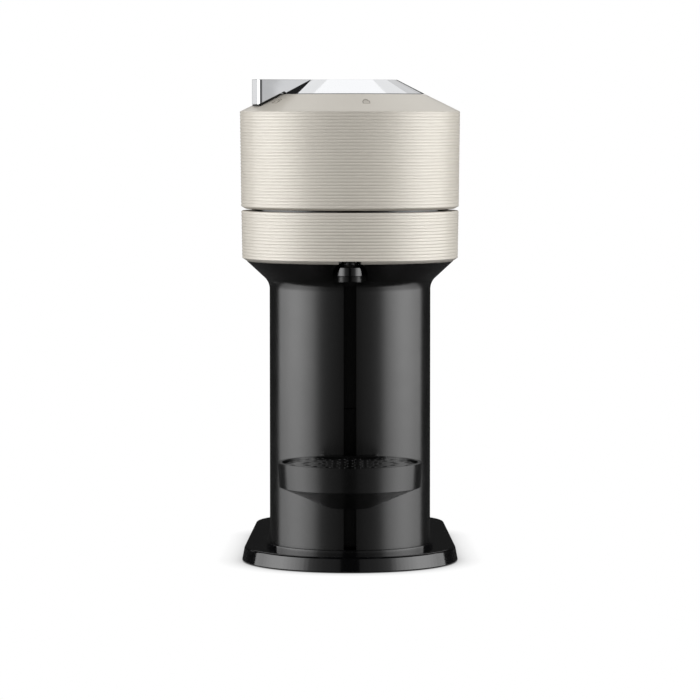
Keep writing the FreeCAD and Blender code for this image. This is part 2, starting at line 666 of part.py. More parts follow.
def make_head_liner():
    body = doc.addObject("PartDesign::Body", "liner")
    turn(body, "Revolution", [
        ("bell_bore", "liner_low"), ("liner_radius", "liner_low"), ("liner_radius", "liner_high"),
        ("bell_radius", "liner_high"), ("bell_radius", "bell_high"), ("bell_rim", "bell_high"),
        ("bell_rim", "bell_top"), ("needle_radius", "bell_top"), ("needle_radius", "bell_high"),
        ("bell_bore", "bell_high"),
    ])
    slots = []
    for middle in hook_middles:
        slots.append(cut(sector("slot_outer", "slot_angle", ("liner_low", "liner_high"), middle),
                         rod("slot_inner", ("liner_low", "liner_high"))))
    subpart(cut(body, *slots), "head_liner")

    subpart(tube("seal_radius", "bell_bore", ("seal_low", "liner_low")), "seal_ring")
    subpart(tube("pierce_radius", "needle_radius", ("pierce_low", "bell_high")), "piercing_plate")
    needle = rod("needle_radius", ("needle_low", "needle_high"))
    tip = cone("needle_point", "needle_radius", ("needle_tip", "needle_low"))
    boss = rod("needle_boss", ("bell_top", "needle_high"))
    subpart(join(needle, tip, boss), "water_injector")


def make_head_core():
    post = tube("core_radius", "core_bore", ("bell_top", "core_low"))
    crown = tube("core_rim", "stem_radius + play", ("core_low", "core_high"))
    subpart(join(post, crown), "head_core")
    board = tube("led_board_radius", "stem_radius + play", ("led_board_low", "led_board_high"))
    posts = [rod("standoff", ("led_board_high", "core_low"), x=sign + "standoff_side") for sign in ("", "-")]
    subpart(join(board, *posts), "button_board")
    subpart(tube("glow_radius", "glow_bore", ("glow_low", "glow_high")), "light_guide")
    cap = rod("button_radius", ("button_low", "button_high"))
    stem = rod("stem_radius", ("stem_low", "button_low"))
    subpart(join(cap, stem), "brew_button")


def make_hinge_arms():
    pieces, bores = [], []
    for span in arm_spans():
        pieces += [
            block(span, ("arm_front", "hinge_back + hinge_radius"), ("liner_high", "arm_high")),
            block(span, ("hinge_back - hinge_radius", "hinge_back + hinge_radius"),
                  ("hinge_high", "liner_high")),
            axle("hinge_radius", span, "hinge_back", "hinge_high"),
        ]
        bores.append(axle("pin_radius + pin_play", span, "hinge_back", "hinge_high"))
    subpart(cut(join(*pieces), *bores), "hinge_arms")


# ---- lever ----

lever_angle = -158
lever_travel = 64


def make_lever():
    body = doc.addObject("PartDesign::Body", "lever_ring")
    turn(body, "Revolution", [
        ("lever_bore", "top - lever_deep"), ("lever_bore", "top"), ("lever_flat", "top"),
        ("lever_foot_radius", "lever_foot"), ("barrel_bore", "lever_foot"),
        ("lever_flat", "top - lever_deep"),
    ])
    arm = outline(body, "XZ_Plane", [
        ("lever_flat - lever_deep", "top - lever_deep / 2"), ("lever_flat - lever_deep", "top"),
        ("lever_reach", "top"), ("lever_reach", "lever_tip"), ("lever_foot_radius", "lever_root"),
        ("lever_foot_radius - lever_deep", "lever_foot + gap"),
    ])
    pad_both_ways(body, arm, "lever_half")
    subpart(body, "lever_ring", turned=lever_angle)

    body = doc.addObject("PartDesign::Body", "lever_guard")
    guard = outline(body, "XZ_Plane", [
        ("guard_near", "guard_near_low"), ("guard_far", "guard_far_low"),
        ("guard_far", "guard_far_low + guard_deep"), ("guard_near", "guard_near_low + guard_deep"),
    ])
    pad_both_ways(body, guard, "guard_half")
    subpart(body, "lever_guard", turned=lever_angle)

    barrel = rod("barrel_radius", ("barrel_low", "lever_foot"))
    lugs = [sector("lug_radius", "lug_angle", ("barrel_low", "lug_high"), middle - lever_travel)
            for middle in hook_middles]
    subpart(cut(join(barrel, *lugs), rod("barrel_bore", ("barrel_low", "lever_foot"))), "lock_ring")


# ---- cup support ----

def ring_cut(radius, z):
    """An upright cylinder on the dish axis with its rear cut flat."""
    keep = block(("-" + radius, radius), ("dish_front * 2", "dish_back - wall"), z)
    return both(rod(radius, z, y="dish_front"), keep)


def make_cup_support():
    rim = cone("dish_foot_radius", "dish_radius", ("dish_low", "dish_high"), y="dish_front")
    hoops = []
    for radius, front, low in (("dish_foot_radius", "dish_front", "dish_low"),
                               ("arm_foot_radius", "arm_foot_front", "arm_foot_low")):
        hoop = doc.addObject("Part::Circle", "hoop")
        bind(hoop, Radius=radius)
        hoops.append(at(hoop, zero, front, low))
    arm = doc.addObject("Part::Loft", "arm")
    arm.Sections = hoops
    arm.Solid = True
    rear = block(("-dish_radius", "dish_radius"), ("dish_back", zero), ("arm_foot_low", "dish_high"))
    bowl = ring_cut("ledge_radius", ("bowl_floor", "dish_high"))
    seat = ring_cut("bowl_radius", ("ledge_high", "dish_high"))
    subpart(cut(join(rim, arm), rear, bowl, seat), "drip_tray")

    flat = ("ledge_high", "grid_high")
    keep = block(("-grid_radius", "grid_radius"), ("dish_front * 2", "dish_back - wall - gap"), flat)
    holes = []
    for ring in range(int(number("grid_rings"))):
        count = max(1, 6 * ring)
        for i in range(count):
            around = 2 * math.pi * i / count
            ahead = math.sin(around) * ring
            if number("grid_pitch") * ahead > number("dish_back - dish_front - wall * 2"):
                continue
            holes.append(rod("grid_hole", flat, f"grid_pitch * {math.cos(around) * ring:.4f}",
                             f"dish_front + grid_pitch * {ahead:.4f}"))
    subpart(cut(both(rod("grid_radius", flat, y="dish_front"), keep), *holes), "drip_grid")

    tall = ("shoe_low", "shoe_high")
    neck = block(("-neck_half", "neck_half"), ("dish_back", "shoe_front"), tall)
    shoe = block(("-shoe_half", "shoe_half"), ("shoe_front", "shoe_back"), tall)
    subpart(join(neck, shoe), "support_shoe")


# ---- capsule container and water tank ----

def make_container():
    outer = block(("-bin_half", "bin_half"), ("bin_front", "bin_back"), ("bin_low", "bin_high"))
    inner = block(("-bin_half + bin_wall", "bin_half - bin_wall"),
                  ("bin_front + bin_wall", "bin_back - bin_wall"), ("bin_low + bin_wall", "bin_high"))
    subpart(cut(outer, inner), "capsule_container")


def make_tank():
    outer = arch("tank_half", "tank_back", ("tank_low", "tank_high"), front="tank_front")
    inner = arch("tank_half - tank_wall", "tank_back", ("tank_low + tank_wall", "tank_high"),
                 front="tank_front + tank_wall")
    hole = rod("tank_hole", ("tank_low", "tank_low + tank_wall"), y="socket_back")
    subpart(cut(outer, inner, hole), "tank_body")

    floor = "tank_low + tank_wall"
    plug = rod("valve_radius", (floor, floor + " + valve_high"), y="socket_back")
    stem = rod("valve_stem", ("tank_low", floor), y="socket_back")
    subpart(join(plug, stem), "tank_valve")

    sides = ("-tank_half", "tank_half")
    tall = ("lid_low", "lid_high")
    rear = axle("(lid_high - lid_low) / 2", sides, "lid_hinge_back", "(lid_high + lid_low) / 2")
    keep = join(block(sides, ("tank_front", "lid_hinge_back"), tall), rear)
    whole = both(arch("tank_half", "tank_back", tall, front="tank_front"), keep)
    hollow = ("lid_low", "lid_high - lid_deep")
    recess = both(
        arch("tank_half - lid_skirt", "tank_back", hollow, front="tank_front + lid_skirt"),
        block(sides, ("tank_front", "lid_hinge_back - lid_skirt * 3"), hollow),
    )
    subpart(cut(whole, recess), "tank_lid")


def check_and_write():
    doc.recompute()
    for thing in doc.Objects:
        bad = [state for state in thing.State if state in ("Invalid", "Error")]
        assert not bad, f"{thing.Name} ({thing.Label}) is {bad}"
    os.makedirs("parts", exist_ok=True)
    for thing in subparts:
        shape = thing.Shape
        assert not shape.isNull() and shape.isValid(), thing.Label
        shape.exportStep(f"parts/{thing.Label}.step")
        print(f"{thing.Label}: {len(shape.Solids)} solids, {shape.Volume / 1000:.1f} cm3")


for make in (
    make_base, make_dock, make_column, make_rails, make_rear_panel, make_outlet, make_lower_ring, make_deck,
    make_cage, make_drive, make_collector, make_pump, make_heater, make_hoses, make_board, make_rear_deck,
    make_head_shell, make_head_liner, make_head_core, make_hinge_arms, make_lever, make_cup_support,
    make_container, make_tank,
):
    make()
check_and_write()
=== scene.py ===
import json
import math

import bpy
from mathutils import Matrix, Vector


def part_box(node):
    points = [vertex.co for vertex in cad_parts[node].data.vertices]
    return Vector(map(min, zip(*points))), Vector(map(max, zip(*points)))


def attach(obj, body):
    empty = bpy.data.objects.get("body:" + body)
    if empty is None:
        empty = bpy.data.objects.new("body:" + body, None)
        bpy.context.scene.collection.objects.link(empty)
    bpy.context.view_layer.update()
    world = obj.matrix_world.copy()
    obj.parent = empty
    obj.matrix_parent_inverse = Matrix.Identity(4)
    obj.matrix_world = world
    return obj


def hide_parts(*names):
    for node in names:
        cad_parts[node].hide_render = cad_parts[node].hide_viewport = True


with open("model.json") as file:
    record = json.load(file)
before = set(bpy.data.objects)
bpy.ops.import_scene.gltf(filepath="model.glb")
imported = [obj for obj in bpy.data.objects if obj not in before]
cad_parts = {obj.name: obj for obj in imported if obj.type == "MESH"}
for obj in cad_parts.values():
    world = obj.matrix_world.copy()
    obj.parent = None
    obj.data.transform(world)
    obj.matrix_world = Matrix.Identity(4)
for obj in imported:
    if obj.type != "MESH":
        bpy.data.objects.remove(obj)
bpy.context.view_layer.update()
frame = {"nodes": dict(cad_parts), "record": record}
nodes = frame["nodes"]
mm = 0.001


def clearSelection():
    if bpy.context.object and bpy.context.object.mode != "OBJECT":
        bpy.ops.object.mode_set(mode="OBJECT")
    bpy.ops.object.select_all(action="DESELECT")


def makeActive(piece):
    clearSelection()
    piece.select_set(True)
    bpy.context.view_layer.objects.active = piece


def selectWhere(piece, test, kind="FACE"):
    # picks faces, edges or vertices whose middle and normal pass the test, and stays in edit mode
    makeActive(piece)
    bpy.ops.object.mode_set(mode="EDIT")
    bpy.ops.mesh.select_mode(type=kind)
    bpy.ops.mesh.select_all(action="DESELECT")
    bpy.ops.object.mode_set(mode="OBJECT")
    mesh = piece.data
    if kind == "FACE":
        for face in mesh.polygons:
            face.select = bool(test(face.center, face.normal))
    elif kind == "EDGE":
        for edge in mesh.edges:
            ends = [mesh.vertices[i].co for i in edge.vertices]
            edge.select = bool(test((ends[0] + ends[1]) / 2, ends[1] - ends[0]))
    else:
        for vertex in mesh.vertices:
            vertex.select = bool(test(vertex.co, vertex.normal))
    bpy.ops.object.mode_set(mode="EDIT")


def settle(piece):
    # welds doubles, points the faces outwards and leaves edit mode
    makeActive(piece)
    bpy.ops.object.mode_set(mode="EDIT")
    bpy.ops.mesh.select_all(action="SELECT")
    bpy.ops.mesh.remove_doubles(threshold=0.002 * mm)
    bpy.ops.mesh.normals_make_consistent(inside=False)
    bpy.ops.object.mode_set(mode="OBJECT")


def applyModifier(piece, kind, **settings):
    makeActive(piece)
    modifier = piece.modifiers.new(kind.lower(), kind)
    for key, value in settings.items():
        setattr(modifier, key, value)
    bpy.ops.object.modifier_apply(modifier=modifier.name)


def smooth(piece, degrees=32):
    # smooth shading that leaves broad flats flat beside their rounded edges
    makeActive(piece)
    bpy.ops.object.shade_smooth_by_angle(angle=math.radians(degrees))
    applyModifier(piece, "WEIGHTED_NORMAL", mode="FACE_AREA", weight=50, keep_sharp=True)


def softenEdges(piece, width, segments=3, degrees=32):
    applyModifier(piece, "BEVEL", width=width, segments=segments, limit_method="ANGLE",
                  angle_limit=math.radians(degrees), harden_normals=False, use_clamp_overlap=True)


def combine(piece, tool, operation):
    # one boolean, after which the tool is thrown away
    applyModifier(piece, "BOOLEAN", object=tool, operation=operation, solver="EXACT")
    bpy.data.objects.remove(tool)


def joinPieces(name, pieces):
    clearSelection()
    for piece in pieces:
        piece.select_set(True)
    bpy.context.view_layer.objects.active = pieces[0]
    bpy.ops.object.join()
    pieces[0].name = name
    return pieces[0]


def drawLine(name, points):
    # a vertex extruded from point to point, as when tracing a section by hand
    clearSelection()
    bpy.ops.mesh.primitive_plane_add(size=mm)
    piece = bpy.context.active_object
    piece.name = name
    bpy.ops.object.mode_set(mode="EDIT")
    bpy.ops.mesh.select_mode(type="VERT")
    bpy.ops.mesh.select_all(action="SELECT")
    bpy.ops.mesh.merge(type="CENTER")
    bpy.ops.transform.translate(value=points[0])
    for here, there in zip(points, points[1:]):
        step = Vector(there) - Vector(here)
        bpy.ops.mesh.extrude_vertices_move(TRANSFORM_OT_translate={"value": step})
    return piece


def turnProfile(name, profile, centre, steps=128, closed=False):
    # a section of (radius, height) points in mm, spun about the upright line through centre
    points = [(centre[0] + r * mm, centre[1], z * mm) for r, z in profile]
    if closed:
        points.append(points[0])
    piece = drawLine(name, points)
    bpy.ops.mesh.select_all(action="SELECT")
    bpy.ops.mesh.spin(steps=steps, angle=math.tau, center=(centre[0], centre[1], 0), axis=(0, 0, 1))
    settle(piece)
    return piece


def pullOutline(name, points, step):
    # a flat closed outline, filled and pulled along a step to a solid
    piece = drawLine(name, points)
    bpy.ops.mesh.select_all(action="SELECT")
    bpy.ops.mesh.edge_face_add()
    bpy.ops.mesh.extrude_region_move(TRANSFORM_OT_translate={"value": step})
    settle(piece)
    return piece


def raiseOutline(name, outline, low, high):
    # an outline of (x, y) points in mm from the drum's axis, pulled up between two heights
    points = [(axisX + x * mm, axisY + y * mm, low * mm) for x, y in outline]
    return pullOutline(name, points, (0, 0, (high - low) * mm))


def arcPoints(x, y, radius, start, end, count):
    # points on a round stretch, angles in degrees
    turns = [math.radians(start + (end - start) * i / count) for i in range(count + 1)]
    return [(x + radius * math.cos(turn), y + radius * math.sin(turn)) for turn in turns]


def cleanCopy(node, width=0.4, segments=2, degrees=32):
    # a working copy of a frame node, welded, with its flat facets merged and its edges rounded
    source = nodes[node]
    piece = source.copy()
    piece.data = source.data.copy()
    for key in list(piece.keys()):
        del piece[key]
    piece.parent = None
    bpy.context.scene.collection.objects.link(piece)
    piece.name = node.replace("_", "") + "Shown"
    makeActive(piece)
    bpy.ops.object.mode_set(mode="EDIT")
    bpy.ops.mesh.select_all(action="SELECT")
    bpy.ops.mesh.remove_doubles(threshold=0.002 * mm)
    bpy.ops.mesh.dissolve_limited(angle_limit=math.radians(0.3))
    bpy.ops.object.mode_set(mode="OBJECT")
    if width:
        softenEdges(piece, width * mm, segments, degrees)
    smooth(piece, degrees)
    return piece


def finishPiece(piece, material, body, slot, *replaced):
    piece.data.materials.clear()
    piece.data.materials.append(material)
    for face in piece.data.polygons:
        face.material_index = 0
    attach(piece, body)
    if replaced:
        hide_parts(*replaced)
    return piece


def linear(code):
    # an sRGB hex colour as linear red, green, blue and alpha
    parts = [int(code[i:i + 2], 16) / 255 for i in (1, 3, 5)]
    return [c / 12.92 if c <= 0.04045 else ((c + 0.055) / 1.055) ** 2.4 for c in parts] + [1.0]


def addNode(tree, kind, links=None, **settings):
    # adds one node, sets its properties or inputs, and links inputs to other nodes' outputs
    node = tree.nodes.new(kind)
    for key, value in settings.items():
        if hasattr(node, key):
            setattr(node, key, value)
        else:
            node.inputs[key.replace("_", " ")].default_value = value
    for key, output in (links or {}).items():
        tree.links.new(output, node.inputs[key])
    return node


def newMaterial(name, colour, **shader):
    material = bpy.data.materials.new(name)
    material.use_nodes = True
    tree = material.node_tree
    principled = tree.nodes["Principled BSDF"]
    principled.inputs["Base Color"].default_value = linear(colour)
    for key, value in shader.items():
        principled.inputs[key.replace("_", " ")].default_value = value
    place = addNode(tree, "ShaderNodeTexCoord")
    return material, tree, principled, place.outputs["Object"]


def grain(tree, principled, place, sizeMm, depthMm, stretch=(1, 1, 1), detail=3.0):
    # fine relief whose bumps are about sizeMm across
    mapping = addNode(tree, "ShaderNodeMapping", {"Vector": place}, Scale=stretch)
    noise = addNode(tree, "ShaderNodeTexNoise", {"Vector": mapping.outputs["Vector"]},
                    Scale=1 / (sizeMm * mm), Detail=detail)
    bump = addNode(tree, "ShaderNodeBump", {"Height": noise.outputs["Fac"]}, Strength=1.0,
                   Distance=depthMm * mm)
    tree.links.new(bump.outputs["Normal"], principled.inputs["Normal"])
    return noise


def vary(tree, principled, place, socket, sizeMm, low, high):
    # slow change of a value over the surface, as handling and moulding leave it
    noise = addNode(tree, "ShaderNodeTexNoise", {"Vector": place}, Scale=1 / (sizeMm * mm), Detail=4.0)
    spread = addNode(tree, "ShaderNodeMapRange", {"Value": noise.outputs["Fac"]},
                     From_Min=0.3, From_Max=0.7, To_Min=low, To_Max=high)
    tree.links.new(spread.outputs["Result"], principled.inputs[socket])


def tint(tree, principled, place, sizeMm, first, second):
    # slow change between two near colours
    noise = addNode(tree, "ShaderNodeTexNoise", {"Vector": place}, Scale=1 / (sizeMm * mm), Detail=5.0)
    mix = addNode(tree, "ShaderNodeMix", {"Factor": noise.outputs["Fac"]}, data_type="RGBA")
    ends = [socket for socket in mix.inputs if socket.type == "RGBA"]
    ends[0].default_value = linear(first)
    ends[1].default_value = linear(second)
    colour = [socket for socket in mix.outputs if socket.type == "RGBA"][0]
    tree.links.new(colour, principled.inputs["Base Color"])


def sandPaint():
    # pearl-grey lacquer sprayed on ABS: soft diffuse grey under a thin clear coat that adds a crisp sheen
    material, tree, principled, place = newMaterial("sandLacquer", "#c5c0b6", Roughness=0.4, Metallic=0.1,
                                                    IOR=1.5, Coat_Weight=0.22, Coat_Roughness=0.1)
    tint(tree, principled, place, 24, "#c4beb4", "#c7c2b8")
    grain(tree, principled, place, 0.35, 0.0012)  # lacquer grain, drawn coarser than the real 0.1 mm to show
    return material


def blackSatin():
    # black ABS moulded in a fine spark-eroded tool: dark, with broad soft reflections
    material, tree, principled, place = newMaterial("blackSatinPlastic", "#060606", IOR=1.5)
    vary(tree, principled, place, "Roughness", 18, 0.2, 0.25)
    grain(tree, principled, place, 0.45, 0.0012)
    return material


def blackGloss():
    # black ABS from a polished tool: mirror-like reflections over black
    material, tree, principled, place = newMaterial("blackGlossPlastic", "#050506", IOR=1.52)
    vary(tree, principled, place, "Roughness", 30, 0.08, 0.14)
    return material


def chromePlate():
    # chrome plated on moulded ABS: near mirror, with the slight ripple of plating
    material, tree, principled, place = newMaterial("chromePlate", "#e6e7e9", Metallic=1.0)
    vary(tree, principled, place, "Roughness", 9, 0.035, 0.065)
    grain(tree, principled, place, 14, 0.003, detail=1.0)
    return material


def brushedSteel():
    # stainless sheet, brushed one way: short bright streaks
    material, tree, principled, place = newMaterial("brushedStainless", "#b9babb", Metallic=1.0)
    vary(tree, principled, place, "Roughness", 7, 0.28, 0.38)
    grain(tree, principled, place, 0.5, 0.004, stretch=(0.05, 1, 1))
    return material


def castAluminium():
    # die-cast aluminium, tumbled: dull and slightly pitted
    material, tree, principled, place = newMaterial("castAluminium", "#a9aaac", Metallic=1.0)
    vary(tree, principled, place, "Roughness", 5, 0.42, 0.58)
    grain(tree, principled, place, 0.8, 0.03)
    return material


def motorEnamel():
    # stoved enamel on a drawn steel can
    material, tree, principled, place = newMaterial("motorEnamel", "#1c1d20", Coat_Weight=0.3,
                                                    Coat_Roughness=0.2)
    vary(tree, principled, place, "Roughness", 10, 0.4, 0.5)
    grain(tree, principled, place, 0.5, 0.008)
    return material


def blackRubber():
    # moulded nitrile rubber: matt, with dust-fine pores
    material, tree, principled, place = newMaterial("nitrileRubber", "#0f0f0f", IOR=1.52)
    vary(tree, principled, place, "Roughness", 6, 0.7, 0.85)
    grain(tree, principled, place, 0.4, 0.015)
    return material


def siliconeHose():
    # extruded milky silicone
    material, tree, principled, place = newMaterial("milkySilicone", "#d9d6cc", IOR=1.43,
                                                    Transmission_Weight=0.25, Subsurface_Weight=0.2)
    vary(tree, principled, place, "Roughness", 8, 0.35, 0.45)
    return material


def greyNylon():
    # glass-filled nylon: grey, slightly fibrous
    material, tree, principled, place = newMaterial("glassFilledNylon", "#6d6e70", IOR=1.53)
    vary(tree, principled, place, "Roughness", 6, 0.45, 0.6)
    grain(tree, principled, place, 0.5, 0.012, stretch=(1, 0.2, 1))
    return material


def boardLacquer():
    # green solder mask over copper tracks
    material, tree, principled, place = newMaterial("solderMask", "#12512a", IOR=1.55)
    tint(tree, principled, place, 3, "#0e4623", "#1a6535")
    vary(tree, principled, place, "Roughness", 4, 0.25, 0.4)
    return material


def frostedLens():
    # opal polycarbonate that spreads the light of the leds below
    material, tree, principled, place = newMaterial("opalPolycarbonate", "#e4e3df", IOR=1.58,
                                                    Subsurface_Weight=0.3)
    vary(tree, principled, place, "Roughness", 6, 0.3, 0.4)
    return material


def clearTank():
    # clear SAN with a smoky grey tint, injection moulded
    material, tree, principled, place = newMaterial("smokyClearPlastic", "#b9bfc2", IOR=1.57,
                                                    Transmission_Weight=0.92)
    vary(tree, principled, place, "Roughness", 40, 0.04, 0.09)
    grain(tree, principled, place, 30, 0.02, detail=1.0)
    return material


def greyMark():
    # pad-printed ink, a shade darker than the lacquer under it
    material, tree, principled, place = newMaterial("padPrintInk", "#8f897f", IOR=1.5, Coat_Weight=0.3,
                                                    Coat_Roughness=0.1)
    vary(tree, principled, place, "Roughness", 3, 0.4, 0.5)
    return material


def whiteBoard():
    # lacquered white studio board: to the camera it glows pure white, with a painted soft shadow (ambient
    # occlusion darkening the glow) where the object stands, and mirrors the side lamps into the lower
    # surfaces
    material, tree, principled, place = newMaterial("whiteBoard", "#c4c4c4", Roughness=0.14, Metallic=0.92)
    # painted shadow: ambient occlusion darkens the white glow the camera sees near the object
    paintedShadow = addNode(tree, "ShaderNodeAmbientOcclusion", samples=16, Distance=0.018)
    glow = addNode(tree, "ShaderNodeEmission", {"Color": paintedShadow.outputs["Color"]}, Strength=1.0)
    ray = addNode(tree, "ShaderNodeLightPath")
    seen = addNode(tree, "ShaderNodeMixShader", {0: ray.outputs["Is Camera Ray"],
                                                 1: principled.outputs["BSDF"], 2: glow.outputs["Emission"]})
    tree.links.new(seen.outputs["Shader"], tree.nodes["Material Output"].inputs["Surface"])
    return material


sand, satin, gloss = sandPaint(), blackSatin(), blackGloss()
chrome, steel, aluminium, enamel = chromePlate(), brushedSteel(), castAluminium(), motorEnamel()
rubber, silicone, nylon, board = blackRubber(), siliconeHose(), greyNylon(), boardLacquer()
lens, clear, ink = frostedLens(), clearTank(), greyMark()
slotMaterials = {
    "drum_satin": sand, "black_satin": satin, "black_gloss": gloss, "chrome": chrome, "steel": steel,
    "motor_can": enamel, "aluminium_cast": aluminium, "rubber": rubber, "hose": silicone, "grey_nylon": nylon,
    "circuit_board": board, "light_lens": lens, "clear_tank": clear,
}
slotOf = {part["node"]: part["material_slot"] for part in frame["record"]["subparts"]}
for node, slot in slotOf.items():
    mesh = nodes[node].data
    mesh.materials.clear()
    mesh.materials.append(slotMaterials[slot])
print("materials made:", len(slotMaterials) + 1)


axisX = 0.0
axisY = (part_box("lower_ring")[0].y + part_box("lower_ring")[1].y) / 2
axis = (axisX, axisY)


def makeCamera():
    view = {"distance": 2.35, "height": 0.2855, "tiltDown": 3.62, "lens": 186.9}
    clearSelection()
    bpy.ops.object.camera_add(location=(axisX, axisY - view["distance"], view["height"]),
                              rotation=(math.radians(90 - view["tiltDown"]), 0, 0))
    camera = bpy.context.active_object
    camera.name = "frontCamera"
    camera.data.lens = view["lens"]
    camera.data.sensor_width = 36
    camera.data.clip_end = 50
    bpy.context.scene.camera = camera


def softBox(name, aim, away, bearing, rise, acrossAngle, upAngle, brightness):
    # an area lamp facing aim, as wide and tall as the angles it fills there;
    # bearing is degrees round from the front, positive towards +X, and rise is degrees upwards
    turn, lift = math.radians(bearing), math.radians(rise)
    flat = away * math.cos(lift)
    place = Vector(aim) + Vector((flat * math.sin(turn), -flat * math.cos(turn), away * math.sin(lift)))
    clearSelection()
    bpy.ops.object.light_add(type="AREA", location=place)
    lamp = bpy.context.active_object
    lamp.name = name
    lamp.rotation_euler = (Vector(aim) - place).to_track_quat("-Z", "Y").to_euler()
    lamp.data.shape = "RECTANGLE"
    lamp.data.size = 2 * away * math.tan(math.radians(acrossAngle / 2))
    lamp.data.size_y = 2 * away * math.tan(math.radians(upAngle / 2))
    lamp.data.energy = brightness * math.pi * lamp.data.size * lamp.data.size_y
    lamp.visible_camera = False
    return lamp


# a curved wall of narrow panels stands on each side, its brightness given at some bearings;
# back panels are (rise, degrees high, brightness); the tip strip lights the lever's end face alone
studio = {"floorRadius": 6, "away": 1.15, "sideRise": 4, "sideUp": 35, "sideStep": 5,
          "sideGlow": ((10, 0.18), (30, 0.34), (42, 0.68), (47, 1.5), (54, 3.0), (66, 4.2), (77, 4.9),
                       (90, 4.3), (108, 2.4), (123, 1.9)),
          "backAway": 1.3, "backAcross": 46,
          "backPanels": ((20, 8, 0.6), (30, 12, 0.7), (43, 14, 0.92), (58, 16, 1.15)),
          "tipBearing": -136, "tipAcross": 14, "tipRise": 6, "tipUp": 2.6, "tipBrightness": 0.85,
          "camera": 1.0, "mirror": 0.02, "spread": 0.72}


def sideBrightness(bearing):
    # brightness at a bearing, on straight lines between the ones given
    for (start, low), (end, high) in zip(studio["sideGlow"], studio["sideGlow"][1:]):
        if start <= bearing <= end:
            return low + (high - low) * (bearing - start) / (end - start)
    return 0


def makeStage():
    clearSelection()
    bpy.ops.mesh.primitive_circle_add(vertices=96, radius=studio["floorRadius"], fill_type="NGON")
    floor = bpy.context.active_object
    floor.name = "studioFloor"
    floor.data.materials.append(whiteBoard())
    aim = (axisX, axisY, 0.2)
    first, last, step = studio["sideGlow"][0][0], studio["sideGlow"][-1][0], studio["sideStep"]
    for i in range(int((last - first) / step)):
        bearing = first + step * (i + 0.5)
        for side in (-1, 1):
            softBox("sideSoftBox", aim, studio["away"], side * bearing, studio["sideRise"], step,
                    studio["sideUp"], sideBrightness(bearing))
    for rise, up, brightness in studio["backPanels"]:
        softBox("backSoftBox", aim, studio["backAway"], 180, rise, studio["backAcross"], up, brightness)
    softBox("tipStrip", aim, studio["away"], studio["tipBearing"], studio["tipRise"], studio["tipAcross"],
            studio["tipUp"], studio["tipBrightness"])

    # the surround is white to the camera, dark in mirror reflections and dim as fill light
    world = bpy.data.worlds.new("studioWorld")
    bpy.context.scene.world = world
    world.use_nodes = True
    tree = world.node_tree
    shade = tree.nodes["Background"]
    shade.inputs["Color"].default_value = (1, 1, 1, 1)
    ray = addNode(tree, "ShaderNodeLightPath")
    mirror = addNode(tree, "ShaderNodeMapRange", {"Value": ray.outputs["Is Glossy Ray"]},
                     To_Min=studio["spread"], To_Max=studio["mirror"])
    seen = addNode(tree, "ShaderNodeMapRange", {"Value": ray.outputs["Is Camera Ray"],
                                                "To Min": mirror.outputs["Result"]}, To_Max=studio["camera"])
    tree.links.new(seen.outputs["Result"], shade.inputs["Strength"])
    bpy.context.scene.view_settings.view_transform = "Standard"


makeCamera()
makeStage()
print("camera, floor and light made")


# sizes below are in mm; x and y are measured from the drum's upright axis, z from the floor
spare = 1  # how far a cutting shape reaches past what it cuts


def sizeOf(node):
    return [((corner.x - axisX) / mm, (corner.y - axisY) / mm, corner.z / mm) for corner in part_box(node)]


def cutBlock(name, low, high):
    # a plain block between two corners, used to cut other pieces
    clearSelection()
    middle = [(a + b) / 2 * mm for a, b in zip(low, high)]
    bpy.ops.mesh.primitive_cube_add(size=mm, location=(axisX + middle[0], axisY + middle[1], middle[2]))
    block = bpy.context.active_object
    block.name = name
    bpy.ops.object.mode_set(mode="EDIT")
    bpy.ops.transform.resize(value=[b - a for a, b in zip(low, high)], center_override=block.location)
    bpy.ops.object.mode_set(mode="OBJECT")
    bpy.ops.object.transform_apply(location=True)
    return block


def cutRod(name, radius, x, y, low, high):
    return turnProfile(name, [(0, low), (radius, low), (radius, high), (0, high)],
                       (axisX + x * mm, axisY + y * mm), steps=64)


def grooveRows(section, radiusAt, low):
    # the section points of a row of round-bottomed grooves with soft lips
    lips = ((0.0, -0.1), (0.08, 0.0), (0.75, 0.2), (1.0, 0.5), (0.75, 0.8), (0.08, 1.0), (0.0, 1.1))
    points = []
    for row in range(section["ribs"]):
        foot = low + row * section["pitch"]
        for deep, rise in lips:
            height = foot + rise * section["groove"]
            points.append((radiusAt(height) - deep * section["deep"], height))
    return points


upperDrum = {"ribs": 29, "pitch": 2.06, "groove": 1.0, "deep": 0.25, "firstRib": 3.3, "edge": 2.4,
             "edgeRound": 1.1, "edgeRise": 0.2, "taper": 0.7, "gap": 0.5, "lipInset": 3.4, "round": 0.8,
             "coneHigh": 10.7, "coneRadius": 48.7, "coneLean": 63.5, "rimOut": 0.4, "rimDown": 0.2,
             "wall": 2.5, "skin": 3.9, "armNear": 37.7, "armFar": 46.3, "armFront": 48, "armHigh": 18.3,
             "steps": 160}


